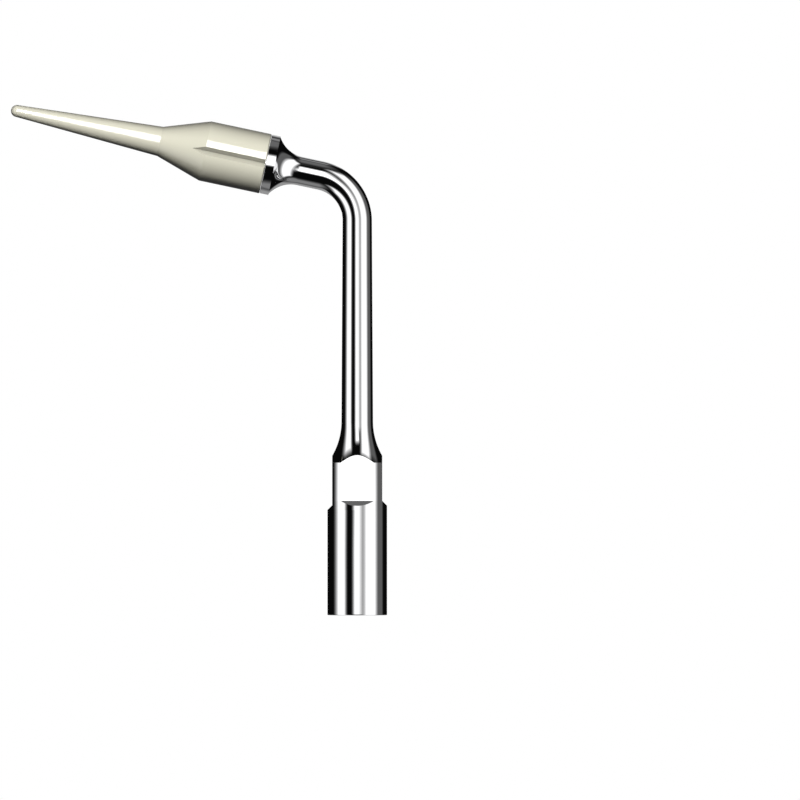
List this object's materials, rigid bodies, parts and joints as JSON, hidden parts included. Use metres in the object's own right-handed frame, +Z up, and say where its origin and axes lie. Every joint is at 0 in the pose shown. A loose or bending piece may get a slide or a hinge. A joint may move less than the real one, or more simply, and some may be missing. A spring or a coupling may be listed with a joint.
{
  "type": "ultrasonic scaler insert",
  "caption": "Bent steel ultrasonic scaler insert with four wrench flats and a cream plastic implant-cleaning cap that unscrews from a threaded stud.",
  "frame": {"origin": "centre of the base's seating face, the annular end that meets the handpiece, on the socket's thread axis", "axes": "+Z up the base and shank, -X towards the cap's nose, the bend lies in the XZ plane; the cap rises 12 degrees above level"},
  "size_m": [0.0301, 0.0048, 0.0408],
  "materials": {
    "polished_steel": "mirror-polished stainless steel",
    "seal_rubber": "matt moulded rubber",
    "cream_peek": "smooth satin cream plastic"
  },
  "bodies": {
    "holder": {"insert_holder": "polished_steel"},
    "seal": {"thread_seal_ring": "seal_rubber"},
    "cap": {"implant_cap": "cream_peek"}
  },
  "joints": [
    {"name": "cap_travel", "type": "slide", "parent": "holder", "child": "seal", "axis": [-0.9781, 0, 0.2079], "range_m": [0, 0.0044]},
    {"name": "cap_turn", "type": "hinge", "parent": "seal", "child": "cap", "pos_m": [-0.00732, 0, 0.0361], "axis": [-0.9781, 0, 0.2079], "range_deg": [0, 3961]}
  ],
  "couplings": [
    {"joint": "cap_turn", "follows": "cap_travel", "rad_per_m": 15708}
  ]
}
